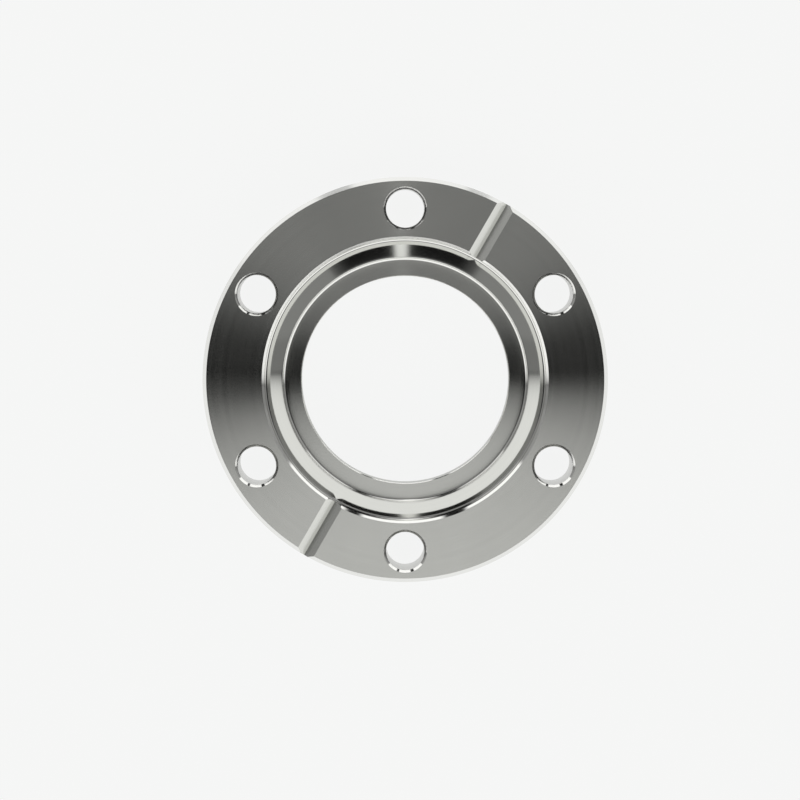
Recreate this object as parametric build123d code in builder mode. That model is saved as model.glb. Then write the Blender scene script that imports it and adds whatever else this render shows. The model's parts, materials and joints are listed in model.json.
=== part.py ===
"""Fixed knife-edge vacuum flange, bored and back-socketed for a welded tube.

One turned and drilled stainless steel ring, modelled in millimetres.  It lies on its plain
back face, in the plane z = 0, with its axis on Z and its sealing side facing +Z.  One bolt
hole is on the +Y axis.  The two leak-check grooves lie on one diameter, between bolt holes.
"""

import os
from math import radians, tan

from build123d import *

# The welded tube that the back socket takes, and the bore that runs on from it
tube_diameter = 38.1
tube_wall = 1.25
tube_clearance = 0.1
bore_edge_chamfer = 0.12
socket_mouth_chamfer = 0.5

# Knife edge and gasket seat, from the bore outwards
inner_land_width = 3.15
inner_land_depth = 2.2
knife_tip_depth = 0.65
knife_slope = 20.0
knife_root_fillet = 0.45
knife_tip_fillet = 0.08
gasket_sealing_band = 3.1
gasket_clearance = 0.1
recess_edge_chamfer = 0.4
recess_corner_fillet = 0.35

# Bolting ring
bolt_count = 6
bolt_hole_diameter = 6.6
bolt_hole_chamfer = 0.4
recess_to_hole_wall = 1.9
hole_to_rim_wall = 2.05
outer_edge_chamfer = 0.65

# Axial sizes of the body
flange_thickness = 12.7
bore_lip_thickness = 4.5

# Leak-check grooves, a V in section, that open the recess to the rim
leak_groove_included_angle = 110.0
leak_groove_floor_step = 0.38

# Radii that follow, from the axis outwards
bore_radius = tube_diameter / 2 - tube_wall
socket_radius = tube_diameter / 2 + tube_clearance
knife_radius = bore_radius + inner_land_width
recess_radius = knife_radius + gasket_sealing_band + gasket_clearance
bolt_hole_radius = bolt_hole_diameter / 2
bolt_circle_radius = recess_radius + recess_to_hole_wall + bolt_hole_radius
rim_radius = bolt_circle_radius + bolt_hole_radius + hole_to_rim_wall

# Depths below the front face and heights above the back face that follow
recess_wall_depth = knife_tip_depth + (recess_radius - knife_radius) * tan(radians(knife_slope))
leak_groove_depth = recess_wall_depth - recess_corner_fillet - leak_groove_floor_step
leak_groove_half_width = leak_groove_depth * tan(radians(leak_groove_included_angle / 2))
inner_land_height = flange_thickness - inner_land_depth
socket_floor_height = inner_land_height - bore_lip_thickness
knife_tip_height = flange_thickness - knife_tip_depth
recess_foot_height = flange_thickness - recess_wall_depth

# Places of the bolt holes and the grooves, as angles from +X
first_hole_angle = 90.0
leak_groove_angle = first_hole_angle - 180.0 / bolt_count

MATCH_TOLERANCE = 1e-4


def ring_edges(part: Part, radius: float, height: float) -> ShapeList:
    """Return the circular edges of a part that have this radius and lie at this height."""
    circles = part.edges().filter_by(GeomType.CIRCLE)
    return circles.filter_by(
        lambda edge: abs(edge.radius - radius) < MATCH_TOLERANCE
        and abs(edge.arc_center.Z - height) < MATCH_TOLERANCE
    )


with BuildPart() as flange:
    # Half section of the turned body, in the XZ plane: X is the radius
    with BuildSketch(Plane.XZ):
        with BuildLine():
            Polyline(
                (socket_radius, 0),
                (rim_radius, 0),
                (rim_radius, flange_thickness),
                (recess_radius, flange_thickness),
                (recess_radius, recess_foot_height),
                (knife_radius, knife_tip_height),
                (knife_radius, inner_land_height),
                (bore_radius, inner_land_height),
                (bore_radius, socket_floor_height),
                (socket_radius, socket_floor_height),
                close=True,
            )
        make_face()
    revolve(axis=Axis.Z)

    # Knife edge: a rounded root where it meets the inner land, and a fine round on its tip
    fillet(ring_edges(flange.part, knife_radius, inner_land_height), radius=knife_root_fillet)
    fillet(ring_edges(flange.part, knife_radius, knife_tip_height), radius=knife_tip_fillet)

    # Gasket recess: a rounded foot and a broken upper edge
    fillet(ring_edges(flange.part, recess_radius, recess_foot_height), radius=recess_corner_fillet)
    chamfer(ring_edges(flange.part, recess_radius, flange_thickness), length=recess_edge_chamfer)

    # Bore, socket mouth and rim, each with its sharp edge broken
    chamfer(ring_edges(flange.part, bore_radius, inner_land_height), length=bore_edge_chamfer)
    chamfer(ring_edges(flange.part, socket_radius, 0), length=socket_mouth_chamfer)
    for rim_height in (0, flange_thickness):
        chamfer(ring_edges(flange.part, rim_radius, rim_height), length=outer_edge_chamfer)

    # Bolt holes, straight through, with both mouths chamfered
    with BuildSketch():
        with PolarLocations(bolt_circle_radius, bolt_count, start_angle=first_hole_angle):
            Circle(bolt_hole_radius)
    extrude(amount=flange_thickness, mode=Mode.SUBTRACT)
    for mouth_height in (0, flange_thickness):
        chamfer(ring_edges(flange.part, bolt_hole_radius, mouth_height), length=bolt_hole_chamfer)

    # Leak-check grooves: the V section stands on the axis and is cut out both ways to the rim
    groove_direction = Vector(1, 0, 0).rotate(Axis.Z, leak_groove_angle)
    groove_plane = Plane(
        origin=(0, 0, flange_thickness),
        x_dir=Vector(0, 0, 1).cross(groove_direction),
        z_dir=groove_direction,
    )
    with BuildSketch(groove_plane):
        with BuildLine():
            Polyline(
                (-leak_groove_half_width, 0),
                (0, -leak_groove_depth),
                (leak_groove_half_width, 0),
                close=True,
            )
        make_face()
    extrude(amount=rim_radius, both=True, mode=Mode.SUBTRACT)

flange.part.label = "flange"

os.makedirs("parts", exist_ok=True)
export_step(flange.part, "parts/flange.step")
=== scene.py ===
"""Looks of a fixed six-bolt knife-edge vacuum flange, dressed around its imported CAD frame.

The flange is one turned and drilled ring of stainless steel that lies on its back face.  Its
surface is rebuilt as one closed mesh of the same size and section, fine enough for mirror-like
steel, and each region of it gets the finish that its last cut leaves.
"""

import json
import logging
import math
from dataclasses import dataclass, field
from enum import Enum

import bmesh
import bpy
import numpy as np
from mathutils import Matrix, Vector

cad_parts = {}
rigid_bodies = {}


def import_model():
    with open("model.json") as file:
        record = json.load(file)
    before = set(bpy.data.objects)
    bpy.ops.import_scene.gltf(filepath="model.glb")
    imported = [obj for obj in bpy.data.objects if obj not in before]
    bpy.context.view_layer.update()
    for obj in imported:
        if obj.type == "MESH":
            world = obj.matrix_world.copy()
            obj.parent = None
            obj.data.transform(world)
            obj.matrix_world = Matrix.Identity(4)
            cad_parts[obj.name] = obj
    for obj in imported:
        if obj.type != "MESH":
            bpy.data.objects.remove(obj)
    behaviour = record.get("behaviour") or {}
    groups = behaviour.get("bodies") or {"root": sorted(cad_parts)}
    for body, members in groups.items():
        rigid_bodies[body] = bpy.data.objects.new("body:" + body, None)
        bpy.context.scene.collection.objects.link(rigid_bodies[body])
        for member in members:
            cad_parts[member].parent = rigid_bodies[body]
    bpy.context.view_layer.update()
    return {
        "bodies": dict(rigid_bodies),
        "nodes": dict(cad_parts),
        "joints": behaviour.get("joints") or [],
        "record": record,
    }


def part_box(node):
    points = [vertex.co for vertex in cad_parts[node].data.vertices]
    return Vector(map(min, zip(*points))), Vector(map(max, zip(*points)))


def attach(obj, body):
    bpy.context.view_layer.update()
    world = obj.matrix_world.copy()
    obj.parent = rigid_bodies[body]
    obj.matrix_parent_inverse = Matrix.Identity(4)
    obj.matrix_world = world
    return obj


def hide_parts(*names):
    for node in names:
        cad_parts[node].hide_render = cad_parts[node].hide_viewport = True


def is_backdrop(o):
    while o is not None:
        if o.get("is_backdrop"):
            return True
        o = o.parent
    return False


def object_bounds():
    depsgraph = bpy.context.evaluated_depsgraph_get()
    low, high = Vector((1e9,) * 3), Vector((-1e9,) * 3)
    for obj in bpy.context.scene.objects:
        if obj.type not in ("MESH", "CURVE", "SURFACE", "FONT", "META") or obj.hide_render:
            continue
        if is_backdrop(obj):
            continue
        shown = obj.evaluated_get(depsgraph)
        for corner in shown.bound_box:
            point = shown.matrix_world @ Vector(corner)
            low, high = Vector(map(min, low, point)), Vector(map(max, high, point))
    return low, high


LOG = logging.getLogger("vacuum_flange")
MM = 0.001
MERGE_DISTANCE = 1e-8


class Finish(Enum):
    """The named finishes that a region of the flange can have, in slot order."""

    FACED = "faced_steel"
    SEAT = "seat_steel"
    EDGE = "edge_steel"
    TURNED_WALL = "turned_wall_steel"
    DRILLED = "drilled_steel"
    BACK = "back_steel"
    GROOVE = "milled_groove_steel"


@dataclass(frozen=True)
class FlangeSizes:
    """Sizes of the flange in millimetres, as the CAD model has them.

    Radii are measured from the axis, heights from the back face and depths from the front.
    """

    rim_radius: float
    thickness: float
    bore_radius: float
    socket_radius: float
    recess_radius: float
    bolt_circle_radius: float
    hole_radius: float
    hole_count: int
    first_hole_angle: float = 90.0
    outer_chamfer: float = 0.65
    hole_chamfer: float = 0.4
    recess_chamfer: float = 0.4
    recess_fillet: float = 0.35
    bore_chamfer: float = 0.12
    socket_chamfer: float = 0.5
    land_width: float = 3.15
    land_depth: float = 2.2
    lip_thickness: float = 4.5
    tip_depth: float = 0.65
    knife_slope: float = 20.0
    root_fillet: float = 0.45
    tip_fillet: float = 0.08
    slope_crown: float = 0.03
    groove_angle: float = 110.0
    groove_step: float = 0.38

    @classmethod
    def from_frame(cls, frame: dict) -> "FlangeSizes":
        """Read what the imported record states: the box, the bores and the bolt pattern.


        Returns:
            The sizes, in millimetres.
        """
        mounts = {mount["name"]: mount["dims"] for mount in frame["record"]["mounts"]}
        low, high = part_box("flange")
        return cls(
            rim_radius=(high[0] - low[0]) / 2 / MM,
            thickness=(high[2] - low[2]) / MM,
            bore_radius=mounts["vacuum_bore"]["r_mm"],
            socket_radius=mounts["tube_socket"]["r_mm"],
            recess_radius=mounts["gasket_seat"]["r_mm"],
            bolt_circle_radius=mounts["bolt_holes"]["pcd_mm"] / 2,
            hole_radius=mounts["bolt_holes"]["hole_r_mm"],
            hole_count=mounts["bolt_holes"]["count"],
        )

    @property
    def knife_radius(self) -> float:
        """Radius of the knife edge's tip."""
        return self.bore_radius + self.land_width

    @property
    def wall_depth(self) -> float:
        """Depth of the recess at its outer wall, where the knife's slope meets it."""
        run = self.recess_radius - self.knife_radius
        return self.tip_depth + run * math.tan(math.radians(self.knife_slope))

    @property
    def groove_depth(self) -> float:
        """Depth of the leak-check grooves, which stop above the recess's corner fillet."""
        return self.wall_depth - self.recess_fillet - self.groove_step

    @property
    def groove_half_width(self) -> float:
        """Half the width of a leak-check groove at the front face."""
        return self.groove_depth * math.tan(math.radians(self.groove_angle / 2))

    @property
    def period(self) -> float:
        """Angle from one bolt hole to the next, in degrees."""
        return 360.0 / self.hole_count


def arc_points(
    centre: tuple[float, float], radius: float, start: float, end: float, steps: int
) -> np.ndarray:
    """Points along a circular arc: the centre plus the radius times (cos, sin) of the angle.

    Args:
        centre: The arc's centre, as radius and height.
        radius: The arc's radius.
        start: First angle in degrees.
        end: Last angle in degrees.
        steps: How many straight steps the arc is divided into.

    Returns:
        An array of steps + 1 points.
    """
    angle = np.radians(np.linspace(start, end, steps + 1))
    return np.asarray(centre) + radius * np.stack([np.cos(angle), np.sin(angle)], axis=1)


@dataclass(frozen=True)
class Run:
    """A stretch of the section: its points, the finish between them and the finish after."""

    points: np.ndarray
    between: Finish
    after: Finish

    @classmethod
    def corner(cls, radius: float, height: float, after: Finish) -> "Run":
        """Make a run of a single point."""
        return cls(np.array([[radius, height]]), after, after)

    @property
    def finishes(self) -> list:
        """The finish of the step after each point."""
        return [self.between] * (len(self.points) - 1) + [self.after]


@dataclass
class MeshParts:
    """Vertices, faces and finishes gathered from several grids, in millimetres."""

    points: list = field(default_factory=list)
    faces: list = field(default_factory=list)
    finishes: list = field(default_factory=list)
    count: int = 0

    def add_grid(self, grid: np.ndarray, finish: np.ndarray, keep: np.ndarray) -> None:
        """Add a grid of points as quads between each point and its next row and column.

        Args:
            grid: Points, as rows by columns by three.
            finish: Index of the finish of each quad, as rows - 1 by columns - 1.
            keep: Which quads are wanted, in the same layout.
        """
        rows, columns = grid.shape[:2]
        index = np.arange(rows * columns).reshape(rows, columns) + self.count
        quads = np.stack([index[:-1, :-1], index[:-1, 1:], index[1:, 1:], index[1:, :-1]], axis=2)
        self.points.append(grid.reshape(-1, 3))
        self.faces.append(quads[keep])
        self.finishes.append(finish[keep])
        self.count += rows * columns

    def to_object(self, name: str) -> bpy.types.Object:
        """Weld the grids into one closed mesh, face it outwards and make its object.

        Points that no kept face uses are dropped.

        Args:
            name: The piece's name.

        Returns:
            The new object, at the origin and linked to the scene.
        """
        faces = np.concatenate(self.faces)
        used, compact = np.unique(faces, return_inverse=True)
        points = np.concatenate(self.points)[used] * MM
        mesh = bpy.data.meshes.new(name)
        mesh.from_pydata(points, [], compact.reshape(faces.shape))
        mesh.polygons.foreach_set("material_index", np.concatenate(self.finishes).astype(np.int32))
        work = bmesh.new()
        work.from_mesh(mesh)
        bmesh.ops.remove_doubles(work, verts=work.verts, dist=MERGE_DISTANCE)
        bmesh.ops.recalc_face_normals(work, faces=work.faces)
        work.to_mesh(mesh)
        work.free()
        mesh.update()
        piece = bpy.data.objects.new(name, mesh)
        bpy.context.collection.objects.link(piece)
        return piece


@dataclass
class FlangeBody:
    """The one-piece flange: a turned section carried round the axis, with holes and grooves.

    Columns of the grid run outwards.  Beside the line of each groove they keep a constant
    distance from it, so that a groove's edges and its bottom lie exactly on columns, and
    further out they spread evenly up to the sector that holds a bolt hole.
    """

    sizes: FlangeSizes
    hole_sector: float = 11.0
    strip_margin: float = 0.6
    spread_columns: int = 12
    sector_columns: int = 26
    flat_rows: int = 12
    slope_rows: int = 8
    fillet_steps: int = 12
    tip_steps: int = 8
    land_margin: float = 0.03
    bore_margin: float = 0.1
    rim_margin: float = 1.2
    patch_shares: tuple[float, ...] = (0, 0.02, 0.12, 0.3, 0.6, 1.0)
    depth_tolerance: float = 1e-9
    sharp_angle: float = 24.0

    def strip_offsets(self) -> np.ndarray:
        """Distances of the columns from a groove's centre line, from its middle outwards.

        One column lies where the groove is as deep as the rim's chamfer and one where it is
        as deep as the recess's, so that each crossing of two surfaces has its own corner.

        Returns:
            Distances in millimetres, rising from 0.
        """
        size = self.sizes
        half = size.groove_half_width
        at_rim = half * (1 - size.outer_chamfer / size.groove_depth)
        at_recess = half * (1 - size.recess_chamfer / size.groove_depth)
        return np.array(
            [
                0,
                at_rim / 2,
                at_rim,
                (at_rim + at_recess) / 2,
                at_recess,
                (at_recess + half) / 2,
                half,
                half + self.strip_margin / 3,
                half + self.strip_margin,
            ]
        )

    def column_plan(self) -> tuple[np.ndarray, np.ndarray, np.ndarray, np.ndarray]:
        """What sets each column's angle: its groove line, offset, share and target.

        Returns:
            Four arrays with one value for each column, once round and the first again: the
            angle of the nearest groove line in radians, the offset from that line in
            millimetres, how far the column is spread towards its target, and the target's
            angle from the line in radians.
        """
        strip = self.strip_offsets()
        half_gap = math.radians(self.sizes.period / 2 - self.hole_sector)
        spread = np.linspace(0, 1, self.spread_columns + 1)[1:]
        side_offset = np.concatenate([strip, np.full_like(spread, strip[-1])])
        side_share = np.concatenate([np.zeros_like(strip), spread])
        side_target = np.full_like(side_offset, half_gap)
        sector_steps = np.linspace(0, 1, self.sector_columns + 1)[1:-1]
        sector = half_gap + 2 * math.radians(self.hole_sector) * sector_steps
        offset = np.concatenate([-side_offset[:0:-1], side_offset, np.zeros_like(sector)])
        share = np.concatenate([side_share[:0:-1], side_share, np.ones_like(sector)])
        target = np.concatenate([-side_target[:0:-1], side_target, sector])
        count = self.sizes.hole_count
        first = math.radians(self.sizes.first_hole_angle - self.sizes.period / 2)
        line = first + math.radians(self.sizes.period) * np.repeat(np.arange(count), len(offset))
        return (
            np.append(line, first + 2 * math.pi),
            np.append(np.tile(offset, count), offset[0]),
            np.append(np.tile(share, count), share[0]),
            np.append(np.tile(target, count), target[0]),
        )

    def column_angles(self, radius: np.ndarray) -> np.ndarray:
        """Angle of each point of the grid.

        The angle from the groove line is arcsin(offset / radius), moved by the column's share
        of the way to its target.

        Args:
            radius: Radius of each point in millimetres, as rows by columns.

        Returns:
            Angles in radians, in the same layout.
        """
        line, offset, share, target = self.column_plan()
        along = np.arcsin(offset / radius)
        return line + along + (target - along) * share

    def columns_per_period(self) -> int:
        """Number of columns from one groove line to the next."""
        return 2 * (len(self.strip_offsets()) - 1 + self.spread_columns) + self.sector_columns

    def groove_ceiling(self) -> np.ndarray:
        """Height that the grooves leave at each column, and the full thickness elsewhere.

        A groove's side rises in a straight line from its bottom to the face.

        Returns:
            Heights in millimetres, one for each column.
        """
        size = self.sizes
        offset = self.strip_offsets()
        side = size.thickness - size.groove_depth * np.clip(1 - offset / size.groove_half_width, 0, 1)
        per = self.columns_per_period()
        ceiling = np.full(per * size.hole_count + 1, size.thickness)
        middle = len(offset) - 1 + self.spread_columns
        for period_index in (0, size.hole_count // 2):
            start = period_index * per + middle
            ceiling[start : start + len(side)] = side
            ceiling[start - len(side) + 1 : start + 1] = side[::-1]
        return ceiling

    def flat_radii(self) -> np.ndarray:
        """Radii of the rows across the bolting ring's flat, edges included.

        Returns:
            Radii in millimetres, evenly spaced outwards.
        """
        size = self.sizes
        inner = size.recess_radius + size.recess_chamfer
        outer = size.rim_radius - size.outer_chamfer
        return np.linspace(inner, outer, self.flat_rows + 1)

    def section(self) -> tuple[np.ndarray, list]:
        """The turned section as one closed line of points, and the finish after each point.

        It starts at the bore's lower edge and goes up the bore, out over the knife edge and
        the face, down the rim, in under the back and up the socket.

        Returns:
            The points as radius and height, and the list of finishes of the steps.
        """
        size = self.sizes
        top = size.thickness
        land = top - size.land_depth
        shelf = land - size.lip_thickness
        rim_edge = top - size.outer_chamfer
        land_start = size.bore_radius + size.bore_chamfer
        root, tip, foot = self.rounds(top, land)
        flat = self.flat_radii()
        face = np.stack([flat, np.full_like(flat, top)], axis=1)
        back = np.stack([flat[::-1], np.zeros_like(flat)], axis=1)
        runs = (
            Run.corner(size.bore_radius, shelf, Finish.TURNED_WALL),
            Run.corner(size.bore_radius, shelf + self.bore_margin, Finish.TURNED_WALL),
            Run.corner(size.bore_radius, land - size.bore_chamfer, Finish.EDGE),
            Run.corner(land_start, land, Finish.FACED),
            Run.corner(land_start + self.land_margin, land, Finish.FACED),
            Run.corner(root[0, 0] - self.land_margin, land, Finish.FACED),
            Run(root, Finish.EDGE, Finish.EDGE),
            Run(tip, Finish.EDGE, Finish.SEAT),
            Run(self.slope_points(tip[-1], foot[0]), Finish.SEAT, Finish.SEAT),
            Run(foot, Finish.EDGE, Finish.EDGE),
            Run.corner(size.recess_radius, top - size.recess_chamfer, Finish.EDGE),
            Run(face, Finish.FACED, Finish.EDGE),
            Run.corner(size.rim_radius, rim_edge, Finish.TURNED_WALL),
            Run.corner(size.rim_radius, rim_edge - self.rim_margin, Finish.TURNED_WALL),
            Run.corner(size.rim_radius, size.outer_chamfer, Finish.EDGE),
            Run(back, Finish.BACK, Finish.BACK),
            Run.corner(size.socket_radius + size.socket_chamfer, 0, Finish.EDGE),
            Run.corner(size.socket_radius, size.socket_chamfer, Finish.TURNED_WALL),
            Run.corner(size.socket_radius, shelf, Finish.BACK),
            Run.corner(size.bore_radius, shelf, Finish.TURNED_WALL),
        )
        points = np.concatenate([run.points for run in runs])
        return points, [finish for run in runs for finish in run.finishes]

    def rounds(self, top: float, land: float) -> tuple[np.ndarray, np.ndarray, np.ndarray]:
        """The three rounds of the gasket seat.

        The root's touches the land and the upright, the tip's the upright and the slope, and
        the foot's the slope and the recess's wall.

        Args:
            top: Height of the front face.
            land: Height of the inner land.

        Returns:
            The points of the root's, the tip's and the foot's round, from the axis outwards.
        """
        size = self.sizes
        slope = math.radians(size.knife_slope)
        knife = size.knife_radius
        tip_height = top - size.tip_depth
        root_centre = (knife - size.root_fillet, land + size.root_fillet)
        root = arc_points(root_centre, size.root_fillet, -90, 0, self.fillet_steps)
        round_height = tip_height - size.tip_fillet * (1 + math.sin(slope)) / math.cos(slope)
        tip_centre = (knife + size.tip_fillet, round_height)
        tip = arc_points(tip_centre, size.tip_fillet, 180, 90 - size.knife_slope, self.tip_steps)
        foot_radius = size.recess_radius - size.recess_fillet
        foot_fall = (foot_radius - knife) * math.tan(slope)
        foot_height = tip_height - foot_fall + size.recess_fillet / math.cos(slope)
        foot_centre = (foot_radius, foot_height)
        foot = arc_points(foot_centre, size.recess_fillet, -90 - size.knife_slope, 0, self.fillet_steps)
        return root, tip, foot

    def slope_points(self, tip: np.ndarray, foot: np.ndarray) -> np.ndarray:
        """Points between the ends of the knife's slope, crowned a few hundredths in the middle.

        The crown is 4 t (1 - t) times its height, square to the straight line between the
        ends, where t is the share of the way.

        Args:
            tip: The slope's end at the tip's round, as radius and height.
            foot: Its end at the corner's round.

        Returns:
            The points between the two ends.
        """
        share = np.linspace(0, 1, self.slope_rows + 1)[1:-1, None]
        run = foot - tip
        square = np.array([-run[1], run[0]]) / np.linalg.norm(run)
        return tip + share * run + 4 * share * (1 - share) * self.sizes.slope_crown * square

    def cut_grooves(self, radius: np.ndarray, height: np.ndarray, inner: int) -> None:
        """Lower the rows by the front face to the grooves' sides, in place.

        The two edge rows of the flat slide down their chamfers to where these meet the
        groove, and the rows below them step down the walls where the groove is deeper.

        Args:
            radius: Radius of each point, as rows by columns.
            height: Height of each point, in the same layout.
            inner: The flat's first row.
        """
        size = self.sizes
        ceiling = self.groove_ceiling()
        cut = size.thickness - ceiling
        flat = self.flat_radii()
        outer = inner + len(flat) - 1
        height[inner : outer + 1] = ceiling
        radius[inner] = np.maximum(flat[0] - cut, size.recess_radius)
        radius[outer] = np.minimum(flat[-1] + cut, size.rim_radius)
        for row, chamfer in ((inner - 1, size.recess_chamfer), (outer + 1, size.outer_chamfer)):
            foot = height[row - 1 if row < inner else row + 1]
            deeper = cut >= chamfer - self.depth_tolerance
            height[row] = np.where(deeper, (ceiling + foot) / 2, height[row])

    @staticmethod
    def row_at(points: np.ndarray, radius: float, height: float) -> int:
        """Index of the section's point nearest to this radius and height."""
        return int(np.argmin(np.hypot(points[:, 0] - radius, points[:, 1] - height)))

    def hole_patch(self, grid: np.ndarray, rows: slice, start: int) -> np.ndarray:
        """Surface between a bolt hole's mouth and the sector of the flat around it.

        Each point of the sector's outline is joined to the point of the mouth's circle that
        lies in the same direction from the hole's axis, in straight lines.

        Args:
            grid: The turned grid, rows by columns by three.
            rows: Rows of the flat that bound the sector.
            start: First column of the sector.

        Returns:
            A grid with one row for each ring, from the mouth outwards.  Its columns close.
        """
        size = self.sizes
        end = start + self.sector_columns
        block = grid[rows, start : end + 1]
        outline = np.concatenate(
            [block[0, :-1], block[:-1, -1], block[-1, :0:-1], block[:0:-1, 0], block[:1, 0]]
        )
        middle = (block[0, 0] + block[0, -1]) / 2
        centre = middle / np.hypot(middle[0], middle[1]) * size.bolt_circle_radius
        centre[2] = middle[2]
        away = outline - centre
        mouth = centre + away / np.linalg.norm(away, axis=1, keepdims=True) * (
            size.hole_radius + size.hole_chamfer
        )
        share = np.array(self.patch_shares)[:, None, None]
        return mouth + (outline - mouth) * share

    def hole_wall(self, mouth: np.ndarray) -> np.ndarray:
        """Surface of a bolt hole: both mouths' chamfers and the straight wall between them.

        Each ring is the mouth's circle, shrunk about the hole's axis and moved down it.

        Args:
            mouth: Points of the upper mouth's circle.

        Returns:
            A grid with one row for each ring, from the front face to the back.
        """
        size = self.sizes
        top = size.thickness
        wide = size.hole_radius + size.hole_chamfer
        centre = mouth[:-1].mean(axis=0)
        angle = math.atan2(centre[1], centre[0])
        centre[:2] = size.bolt_circle_radius * np.array([math.cos(angle), math.sin(angle)])
        spoke = (mouth - centre) / wide
        ring_radius = np.array([wide, size.hole_radius, size.hole_radius, size.hole_radius, wide])
        ring_height = np.array([top, top - size.hole_chamfer, top / 2, size.hole_chamfer, 0])
        wall = centre + spoke * ring_radius[:, None, None]
        wall[..., 2] = ring_height[:, None]
        return wall

    @staticmethod
    def finish_grid(finishes: list, columns: int) -> np.ndarray:
        """Slot index of each quad of a grid whose rows each have one finish.

        Args:
            finishes: The finish of each row of quads.
            columns: Number of quads in a row.

        Returns:
            The indices, as rows by columns.
        """
        order = list(Finish)
        return np.repeat(np.array([order.index(name) for name in finishes])[:, None], columns, axis=1)

    def add_hole(self, parts: MeshParts, grid: np.ndarray, rows: dict[Finish, slice], start: int) -> None:
        """Add a bolt hole's wall and the patches of both faces around its mouths.

        Args:
            parts: The parts to add to.
            grid: The turned grid, rows by columns by three.
            rows: The rows of the front's and the back's flat, under their finishes.
            start: First column of the hole's sector.
        """
        patches = {kind: self.hole_patch(grid, flat, start) for kind, flat in rows.items()}
        for kind, patch in patches.items():
            finish = self.finish_grid([kind] * (len(patch) - 1), patch.shape[1] - 1)
            parts.add_grid(patch, finish, np.ones_like(finish, dtype=bool))
        wall = self.hole_wall(patches[Finish.FACED][0])
        kinds = [Finish.EDGE, Finish.DRILLED, Finish.DRILLED, Finish.EDGE]
        finish = self.finish_grid(kinds, wall.shape[1] - 1)
        parts.add_grid(wall, finish, np.ones_like(finish, dtype=bool))

    def build(self) -> bpy.types.Object:
        """Build the whole flange as one closed mesh with its finishes assigned.

        Returns:
            The flange's object.
        """
        size = self.sizes
        points, finishes = self.section()
        flat = self.flat_radii()
        front = self.row_at(points, flat[0], size.thickness)
        back = self.row_at(points, flat[-1], 0)
        columns = self.columns_per_period() * size.hole_count + 1
        radius = np.repeat(points[:, :1], columns, axis=1)
        height = np.repeat(points[:, 1:], columns, axis=1)
        self.cut_grooves(radius, height, front)
        angle = self.column_angles(radius)
        grid = np.stack([radius * np.cos(angle), radius * np.sin(angle), height], axis=2)
        finish = self.finish_grid(finishes[:-1], columns - 1)
        ceiling = self.groove_ceiling()
        milled = np.minimum(ceiling[:-1], ceiling[1:]) < size.thickness
        finish[front : front + self.flat_rows, milled] = list(Finish).index(Finish.GROOVE)
        keep = np.ones_like(finish, dtype=bool)
        rows = {
            Finish.FACED: slice(front, front + len(flat)),
            Finish.BACK: slice(back, back + len(flat)),
        }
        gap = self.columns_per_period() - self.sector_columns
        parts = MeshParts()
        for index in range(size.hole_count):
            start = index * self.columns_per_period() + gap
            for first in (front, back):
                keep[first : first + self.flat_rows, start : start + self.sector_columns] = False
            self.add_hole(parts, grid, rows, start)
        parts.add_grid(grid, finish, keep)
        LOG.info("turned grid of %d rows and %d columns", *grid.shape[:2])
        piece = parts.to_object("flange_body")
        piece.data.shade_smooth()
        piece.data.set_sharp_from_angle(angle=math.radians(self.sharp_angle))
        return piece


@dataclass(frozen=True)
class Ramp:
    """An eased change: from start to end while what drives it goes from low to high."""

    low: float
    high: float
    start: float = 0.0
    end: float = 1.0


@dataclass
class NodeSheet:
    """A node tree with short calls for the nodes that a finish or a sky is made of."""

    tree: bpy.types.NodeTree

    def node(self, kind: str, **settings: object) -> bpy.types.Node:
        """Add a node and set its properties.

        Args:
            kind: The node's type name.
            settings: Properties of the node to set.

        Returns:
            The new node.
        """
        node = self.tree.nodes.new(kind)
        for name, value in settings.items():
            setattr(node, name, value)
        return node

    def feed(self, socket: bpy.types.NodeSocket, value: object) -> None:
        """Link a socket to another, or set it to a plain value.

        Args:
            socket: The input to feed.
            value: An output socket, a number, or a sequence of numbers.
        """
        if isinstance(value, bpy.types.NodeSocket):
            self.tree.links.new(value, socket)
        else:
            socket.default_value = value

    def math(self, operation: str, *values: object, clamp: bool = False) -> bpy.types.NodeSocket:
        """Add a Math node.

        Args:
            operation: The node's operation.
            values: What its inputs are fed, in order.
            clamp: Whether the result is kept from 0 to 1.

        Returns:
            The node's result.
        """
        node = self.node("ShaderNodeMath", operation=operation, use_clamp=clamp)
        for socket, value in zip(node.inputs, values):
            self.feed(socket, value)
        return node.outputs[0]

    def vector_math(self, operation: str, *values: object) -> bpy.types.Node:
        """Add a Vector Math node.

        Args:
            operation: The node's operation.
            values: What its inputs are fed, in order.

        Returns:
            The node, because its results differ by operation.
        """
        node = self.node("ShaderNodeVectorMath", operation=operation)
        for socket, value in zip(node.inputs, values):
            self.feed(socket, value)
        return node

    def ramp(self, value: object, ramp: Ramp) -> bpy.types.NodeSocket:
        """Ease along a ramp, and hold its ends outside it.

        Args:
            value: The value that drives it.
            ramp: The ramp.

        Returns:
            The eased result.
        """
        node = self.node("ShaderNodeMapRange", interpolation_type="SMOOTHSTEP")
        given = {
            "Value": value,
            "From Min": ramp.low,
            "From Max": ramp.high,
            "To Min": ramp.start,
            "To Max": ramp.end,
        }
        for name, setting in given.items():
            self.feed(node.inputs[name], setting)
        return node.outputs["Result"]

    def mix(self, share: object, low: object, high: object) -> bpy.types.NodeSocket:
        """Mix two numbers.

        Args:
            share: How much of the second is taken, from 0 to 1.
            low: The number at a share of 0.
            high: The number at a share of 1.

        Returns:
            The mixed number.
        """
        node = self.node("ShaderNodeMix", data_type="FLOAT")
        for socket, value in zip(node.inputs[:4], (share, None, low, high)):
            if value is not None:
                self.feed(socket, value)
        return node.outputs[0]


class Lay(Enum):
    """Which way a cutting tool moved over a surface, so which way its marks are stacked."""

    RADIAL = "marks stacked outwards, as on a faced disc"
    AXIAL = "marks stacked along the axis, as on a turned wall"


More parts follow.
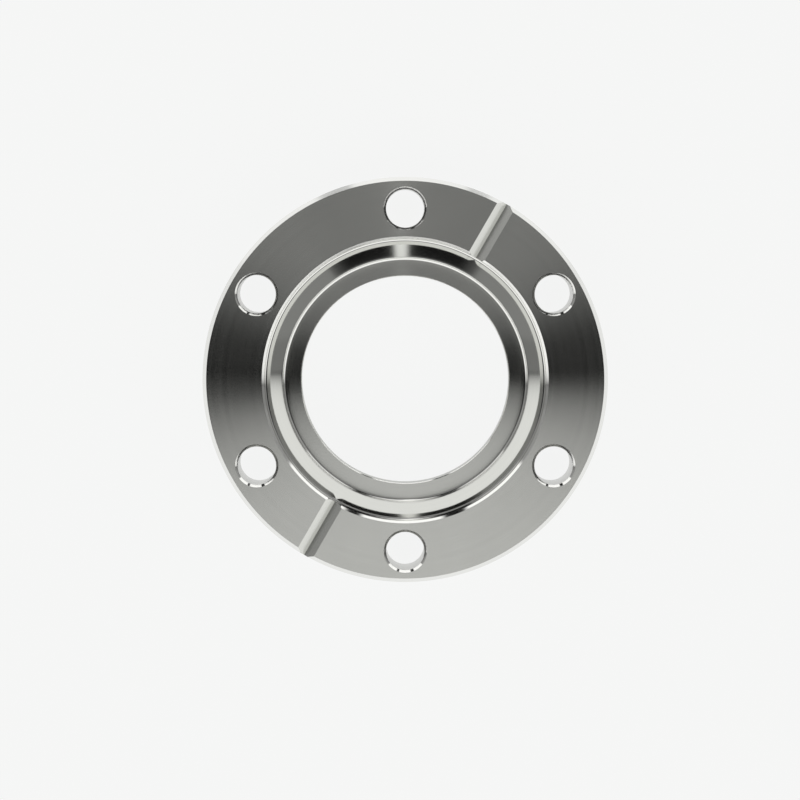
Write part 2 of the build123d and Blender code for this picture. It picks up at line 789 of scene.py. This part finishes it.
FINE_DETAIL = 3.0
BROAD_DETAIL = 1.0
BROAD_SCALE = 0.13
BROAD_SHARE = 0.35
BLOTCH_DETAIL = 4.0
BLOTCH_SHARE = 0.5


def mark_group() -> bpy.types.NodeTree:
    """Build the shader group for fine cutting marks and faint handling blotches.

    The marks are one-dimensional noise of two pitches along the way the tool was fed.  The
    blotches are soft noise in space.

    Returns:
        The node group, with inputs Position, Pitch and Blotch Size, all in millimetres, and
        outputs Marks, Blotches and Height.
    """
    group = bpy.data.node_groups.new("cutting_marks", "ShaderNodeTree")
    for name, kind, way in (
        ("Position", "NodeSocketFloat", "INPUT"),
        ("Pitch", "NodeSocketFloat", "INPUT"),
        ("Blotch Size", "NodeSocketFloat", "INPUT"),
        ("Marks", "NodeSocketFloat", "OUTPUT"),
        ("Blotches", "NodeSocketFloat", "OUTPUT"),
        ("Height", "NodeSocketFloat", "OUTPUT"),
    ):
        group.interface.new_socket(name=name, in_out=way, socket_type=kind)
    sheet = NodeSheet(group)
    given = sheet.node("NodeGroupInput")
    result = sheet.node("NodeGroupOutput")
    phase = sheet.math("DIVIDE", given.outputs["Position"], given.outputs["Pitch"])
    fine = sheet.node("ShaderNodeTexNoise", noise_dimensions="1D")
    sheet.feed(fine.inputs["W"], phase)
    sheet.feed(fine.inputs["Scale"], 1.0)
    sheet.feed(fine.inputs["Detail"], FINE_DETAIL)
    broad = sheet.node("ShaderNodeTexNoise", noise_dimensions="1D")
    sheet.feed(broad.inputs["W"], phase)
    sheet.feed(broad.inputs["Scale"], BROAD_SCALE)
    sheet.feed(broad.inputs["Detail"], BROAD_DETAIL)
    place = sheet.node("ShaderNodeTexCoord")
    millimetres = sheet.vector_math("SCALE", place.outputs["Object"])
    sheet.feed(millimetres.inputs["Scale"], 1 / MM)
    inverse = sheet.math("DIVIDE", 1.0, given.outputs["Blotch Size"])
    cloud = sheet.node("ShaderNodeTexNoise", noise_dimensions="3D")
    sheet.feed(cloud.inputs["Vector"], millimetres.outputs[0])
    sheet.feed(cloud.inputs["Scale"], inverse)
    sheet.feed(cloud.inputs["Detail"], BLOTCH_DETAIL)
    marks = sheet.mix(BROAD_SHARE, fine.outputs["Fac"], broad.outputs["Fac"])
    sheet.feed(result.inputs["Marks"], marks)
    sheet.feed(result.inputs["Blotches"], cloud.outputs["Fac"])
    sheet.feed(result.inputs["Height"], fine.outputs["Fac"])
    return group


@dataclass(frozen=True)
class SteelFinish:
    """Stainless steel as one kind of cut leaves it.

    The lean is the tilt of the feed marks' long flanks, away from the axis.  It is what makes
    a faced disc mirror more of what lies outwards than of what lies inwards.
    """

    finish: Finish
    tint: tuple[float, float, float]
    roughness: float
    anisotropy: float
    lay: Lay
    lean_degrees: float = 0.0
    pitch: float = 0.12
    tint_swing: float = 0.04
    roughness_swing: float = 0.04
    mark_depth: float = 0.0006
    blotch_size: float = 6.0

    def material(self, marks: bpy.types.NodeTree) -> bpy.types.Material:
        """Build the material of this finish.

        Args:
            marks: The shared cutting_marks group.

        Returns:
            The material.
        """
        material = bpy.data.materials.new(self.finish.value)
        material.use_nodes = True
        sheet = NodeSheet(material.node_tree)
        shader = material.node_tree.nodes["Principled BSDF"]
        place = sheet.node("ShaderNodeTexCoord")
        axes = sheet.node("ShaderNodeSeparateXYZ")
        sheet.feed(axes.inputs[0], place.outputs["Object"])
        flat = sheet.node("ShaderNodeCombineXYZ")
        sheet.feed(flat.inputs["X"], axes.outputs["X"])
        sheet.feed(flat.inputs["Y"], axes.outputs["Y"])
        outwards = sheet.vector_math("NORMALIZE", flat.outputs[0]).outputs[0]
        radius = sheet.vector_math("LENGTH", flat.outputs[0]).outputs["Value"]
        along = radius if self.lay is Lay.RADIAL else axes.outputs["Z"]
        group = sheet.node("ShaderNodeGroup", node_tree=marks)
        sheet.feed(group.inputs["Position"], sheet.math("DIVIDE", along, MM))
        sheet.feed(group.inputs["Pitch"], self.pitch)
        sheet.feed(group.inputs["Blotch Size"], self.blotch_size)

        # Base colour: the steel's tint, a little lighter or darker from mark to mark
        swing = sheet.math("SUBTRACT", group.outputs["Marks"], 0.5)
        blotch = sheet.math("SUBTRACT", group.outputs["Blotches"], 0.5)
        cloud = sheet.math("MULTIPLY", blotch, BLOTCH_SHARE)
        level = sheet.math(
            "MULTIPLY_ADD", sheet.math("ADD", swing, cloud), 2 * self.tint_swing, 1.0
        )
        shade = sheet.vector_math("SCALE", self.tint)
        sheet.feed(shade.inputs["Scale"], level)
        sheet.feed(shader.inputs["Base Color"], shade.outputs[0])

        rough = sheet.math("MULTIPLY_ADD", swing, 2 * self.roughness_swing, self.roughness)
        sheet.feed(shader.inputs["Roughness"], rough)
        shader.inputs["Metallic"].default_value = 1.0
        shader.inputs["Anisotropic"].default_value = self.anisotropy
        if self.anisotropy > 0:
            upright = sheet.node("ShaderNodeCombineXYZ")
            sheet.feed(upright.inputs["Z"], 1.0)
            stretch = outwards if self.lay is Lay.RADIAL else upright.outputs[0]
            sheet.feed(shader.inputs["Tangent"], stretch)

        bump = sheet.node("ShaderNodeBump")
        sheet.feed(bump.inputs["Height"], group.outputs["Height"])
        sheet.feed(bump.inputs["Distance"], self.mark_depth * MM)
        if self.lean_degrees:
            tilt = sheet.vector_math("SCALE", outwards)
            sheet.feed(tilt.inputs["Scale"], math.tan(math.radians(self.lean_degrees)))
            shape = sheet.node("ShaderNodeNewGeometry")
            leaned = sheet.vector_math("ADD", shape.outputs["Normal"], tilt.outputs[0])
            unit = sheet.vector_math("NORMALIZE", leaned.outputs[0])
            sheet.feed(bump.inputs["Normal"], unit.outputs[0])
        sheet.feed(shader.inputs["Normal"], bump.outputs["Normal"])
        return material


STEEL_TINT = (0.64, 0.645, 0.62)
# The chamfers and rounds are polished, which their low roughness gives. Their tint is lighter than the
# steel's own, and that is a painted highlight that makes these edges shine brighter than the same steel
# elsewhere.
POLISHED_EDGE_HIGHLIGHT_TINT = (0.86, 0.86, 0.84)
DRILLED_TINT = (0.68, 0.68, 0.66)
FINISHES = (
    SteelFinish(
        Finish.FACED, STEEL_TINT, 0.17, 1.0, Lay.RADIAL,
        lean_degrees=7.5, tint_swing=0.08, roughness_swing=0.03,
    ),
    SteelFinish(Finish.SEAT, STEEL_TINT, 0.1, 0.6, Lay.RADIAL, pitch=0.08, roughness_swing=0.015),
    # The edges' lighter tint is painted highlight, and their low roughness is the real polish.
    SteelFinish(
        Finish.EDGE, POLISHED_EDGE_HIGHLIGHT_TINT, 0.09, 0.0, Lay.RADIAL, roughness_swing=0.02, mark_depth=0.0002
    ),
    SteelFinish(Finish.TURNED_WALL, STEEL_TINT, 0.36, 0.85, Lay.AXIAL, pitch=0.15),
    SteelFinish(Finish.DRILLED, DRILLED_TINT, 0.3, 0.5, Lay.AXIAL, pitch=0.2),
    SteelFinish(Finish.BACK, STEEL_TINT, 0.42, 0.9, Lay.RADIAL, pitch=0.16),
    SteelFinish(
        Finish.GROOVE, STEEL_TINT, 0.22, 0.0, Lay.AXIAL, roughness_swing=0.02, mark_depth=0.0002
    ),
)


@dataclass(frozen=True)
class Panel:
    """A tall light panel, which is wider at its foot than above.

    Each pair gives the directions of its two sides in degrees.
    """

    above: tuple[float, float]
    foot: tuple[float, float]
    light: Ramp


SIDE_LIGHT = Ramp(45.0, 80.0, 0.3, 1.15)
MIDDLE_LIGHT = Ramp(45.0, 80.0, 1.1, 1.15)


@dataclass
class Studio:
    """The pale floor, the soft surroundings and the camera above the flange.

    Directions are measured from straight up, and round from +Y towards +X.
    """

    floor_side: float = 2.0
    floor_gap: float = 2e-5
    view_distance: float = 0.6
    view_offset: tuple[float, float] = (-0.0029, 0.024)
    aim_offset: tuple[float, float] = (-0.0009, -0.0034)
    lens: float = 158.0
    sensor: float = 36.0
    floor_matte: float = 0.8
    floor_glow: tuple[float, float, float] = (0.95, 0.955, 0.95)
    floor_glow_share: float = 0.93
    sky_tint: tuple[float, float, float] = (1.0, 1.0, 0.985)
    panels: tuple[Panel, ...] = (
        Panel(above=(-56.0, -36.0), foot=(-56.0, -26.0), light=SIDE_LIGHT),
        Panel(above=(-4.5, 1.5), foot=(-16.0, 19.0), light=MIDDLE_LIGHT),
        Panel(above=(36.0, 56.0), foot=(26.0, 56.0), light=SIDE_LIGHT),
    )
    panel_top: Ramp = Ramp(28.0, 31.0)
    panel_widening: Ramp = Ramp(42.0, 80.0)
    panel_edge: Ramp = Ramp(-1.5, 1.5)
    in_front: Ramp = Ramp(26.0, 46.0, 1.0, 0.0)
    sky: Ramp = Ramp(0.03, 0.2, 0.005, 0.3)
    gap: Ramp = Ramp(30.0, 35.0)
    gap_level: float = 0.01
    beside: Ramp = Ramp(27.0, 34.0, 0.0, 0.24)
    middle_line: Ramp = Ramp(-0.002, 0.002)
    steep: Ramp = Ramp(25.0, 38.0)
    ground_high: Ramp = Ramp(5.0, 15.0, 0.2, 0.85)
    ground_low: Ramp = Ramp(25.0, 40.0, 0.0, 0.23)
    shallow_fade: float = 0.12
    steep_fade: float = 0.05
    shallow_border: float = 0.06
    border_turn: float = 0.035

    def floor(self) -> bpy.types.Object:
        """Build the floor: one flat square, white to the camera with the flange's shadow.

        It lies a hair below the flange, so that the two faces never share a plane.

        Returns:
            The floor's object.
        """
        half = self.floor_side / 2
        corner = np.array([-half, half])
        x, y = np.meshgrid(corner, corner)
        points = np.stack([x, y, np.full_like(x, -self.floor_gap)], axis=2).reshape(-1, 3)
        mesh = bpy.data.meshes.new("floor")
        mesh.from_pydata(points, [], [(0, 1, 3, 2)])
        floor = bpy.data.objects.new("floor", mesh)
        bpy.context.collection.objects.link(floor)
        material = bpy.data.materials.new("white_floor")
        material.use_nodes = True
        sheet = NodeSheet(material.node_tree)
        material.node_tree.nodes.remove(material.node_tree.nodes["Principled BSDF"])
        ray = sheet.node("ShaderNodeLightPath")
        seen = sheet.math(
            "MAXIMUM", ray.outputs["Is Camera Ray"],
            sheet.math("MAXIMUM", ray.outputs["Is Glossy Ray"], ray.outputs["Is Transmission Ray"]),
        )
        matte = sheet.node("ShaderNodeBsdfDiffuse")
        sheet.feed(matte.inputs["Color"], (self.floor_matte, self.floor_matte, self.floor_matte, 1.0))
        glow = sheet.node("ShaderNodeEmission")
        sheet.feed(glow.inputs["Color"], (*self.floor_glow, 1.0))
        mixed = sheet.node("ShaderNodeMixShader")
        sheet.feed(mixed.inputs["Fac"], sheet.math("MULTIPLY", seen, self.floor_glow_share))
        sheet.feed(mixed.inputs[1], matte.outputs[0])
        sheet.feed(mixed.inputs[2], glow.outputs[0])
        output = material.node_tree.nodes["Material Output"]
        sheet.feed(output.inputs["Surface"], mixed.outputs[0])
        mesh.materials.append(material)
        return floor

    def surroundings(self) -> bpy.types.World:
        """Build the surroundings that light the flange and that its steel mirrors.

        Straight up is dark.  Towards -Y lies a broad bright ground, with a sharp border.
        Towards +Y the light grows with the angle, and three tall panels stand in it, with
        dark gaps between them.

        Returns:
            The world, set on the scene.
        """
        world = bpy.data.worlds.new("studio")
        world.use_nodes = True
        bpy.context.scene.world = world
        sheet = NodeSheet(world.node_tree)
        sky = world.node_tree.nodes["Background"]
        place = sheet.node("ShaderNodeTexCoord")
        axes = sheet.node("ShaderNodeSeparateXYZ")
        sheet.feed(axes.inputs[0], place.outputs["Generated"])
        x, y, z = (axes.outputs[name] for name in "XYZ")
        from_up = sheet.math("DEGREES", sheet.math("ARCCOSINE", z))
        around = sheet.math("DEGREES", sheet.math("ARCTAN2", x, y))

        ground = self.ground_light(sheet, x, y, from_up)
        far = self.far_light(sheet, y, from_up, around)
        far = sheet.math("MULTIPLY", far, sheet.ramp(y, self.middle_line))
        level = sheet.math("MAXIMUM", far, ground)
        ray = sheet.node("ShaderNodeLightPath")
        level = sheet.mix(ray.outputs["Is Camera Ray"], level, 1.0)
        sheet.feed(sky.inputs["Color"], (*self.sky_tint, 1.0))
        sheet.feed(sky.inputs["Strength"], level)
        return world

    def ground_light(
        self,
        sheet: NodeSheet,
        x: bpy.types.NodeSocket,
        y: bpy.types.NodeSocket,
        from_up: bpy.types.NodeSocket,
    ) -> bpy.types.NodeSocket:
        """Light from the bright ground on the -Y side, which grows away from straight up.

        It rises from its border as one minus the exponential of the distance past it.  High
        up, the border stands back from the middle, and a little further on the -X side.

        Args:
            sheet: The world's node sheet.
            x: The direction's X.
            y: The direction's Y.
            from_up: Its angle from straight up, in degrees.

        Returns:
            The level.
        """
        steep = sheet.ramp(from_up, self.steep)
        turned = sheet.math("MULTIPLY_ADD", x, -self.border_turn, self.shallow_border)
        past = sheet.math("ADD", y, sheet.mix(steep, turned, 0.0))
        depth = sheet.math("MULTIPLY", past, sheet.mix(steep, 1 / self.shallow_fade, 1 / self.steep_fade))
        rise = sheet.math("SUBTRACT", 1.0, sheet.math("EXPONENT", depth), clamp=True)
        high = sheet.ramp(from_up, self.ground_high)
        middle = sheet.ramp(from_up, self.ground_low)
        return sheet.math("MULTIPLY", sheet.math("ADD", high, middle), rise)

    def far_light(
        self,
        sheet: NodeSheet,
        y: bpy.types.NodeSocket,
        from_up: bpy.types.NodeSocket,
        around: bpy.types.NodeSocket,
    ) -> bpy.types.NodeSocket:
        """Light from the +Y side: a soft sky, dark low down, with the tall panels in it.

        Args:
            sheet: The world's node sheet.
            y: The direction's Y.
            from_up: Its angle from straight up, in degrees.
            around: Its angle round from +Y towards +X, in degrees.

        Returns:
            The level.
        """
        front = sheet.ramp(sheet.math("ABSOLUTE", around), self.in_front)
        sky = sheet.ramp(y, self.sky)
        low = sheet.math("MULTIPLY", front, sheet.ramp(from_up, self.gap))
        level = sheet.mix(low, sky, self.gap_level)
        beside = sheet.math("SUBTRACT", 1.0, front)
        sides = sheet.math("MULTIPLY", sheet.ramp(from_up, self.beside), beside)
        level = sheet.math("MAXIMUM", level, sides)
        widening = sheet.ramp(from_up, self.panel_widening)
        starts_at = sheet.ramp(from_up, self.panel_top)
        for panel in self.panels:
            start, end = (sheet.mix(widening, *pair) for pair in zip(panel.above, panel.foot))
            past_start = sheet.math("SUBTRACT", around, start)
            before_end = sheet.math("SUBTRACT", end, around)
            inside = sheet.math(
                "MULTIPLY",
                sheet.ramp(past_start, self.panel_edge),
                sheet.ramp(before_end, self.panel_edge),
            )
            bright = sheet.ramp(from_up, panel.light)
            level = sheet.mix(sheet.math("MULTIPLY", inside, starts_at), level, bright)
        return level

    def camera(self) -> bpy.types.Object:
        """Place the camera above the flange, a little towards +Y and tipped back to it.

        Returns:
            The camera, set on the scene.
        """
        low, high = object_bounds()
        top = high[2]
        data = bpy.data.cameras.new("camera")
        data.lens = self.lens
        data.sensor_width = self.sensor
        camera = bpy.data.objects.new("camera", data)
        bpy.context.collection.objects.link(camera)
        eye = np.array([*self.view_offset, top + self.view_distance])
        aim = np.array([*self.aim_offset, top])
        back = (eye - aim) / np.linalg.norm(eye - aim)
        right = np.cross((0.0, 1.0, 0.0), back)
        right /= np.linalg.norm(right)
        up = np.cross(back, right)
        matrix = np.eye(4)
        matrix[:3, 0], matrix[:3, 1], matrix[:3, 2], matrix[:3, 3] = right, up, back, eye
        camera.matrix_world = Matrix(matrix.tolist())
        bpy.context.scene.camera = camera
        return camera


def main() -> None:
    """Load the frame, build and dress the flange, and set the studio around it."""
    logging.basicConfig(level=logging.INFO, format="%(name)s: %(message)s")
    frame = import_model()
    marks = mark_group()
    body = FlangeBody(FlangeSizes.from_frame(frame))
    flange = body.build()
    for finish in FINISHES:
        flange.data.materials.append(finish.material(marks))
    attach(flange, "root")
    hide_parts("flange")
    LOG.info("built %s with %d faces", flange.name, len(flange.data.polygons))

    studio = Studio()
    studio.floor()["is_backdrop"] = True
    studio.surroundings()
    studio.camera()
    bpy.context.scene.view_settings.view_transform = "Standard"
    LOG.info("set the studio")


if __name__ == "__main__":
    main()
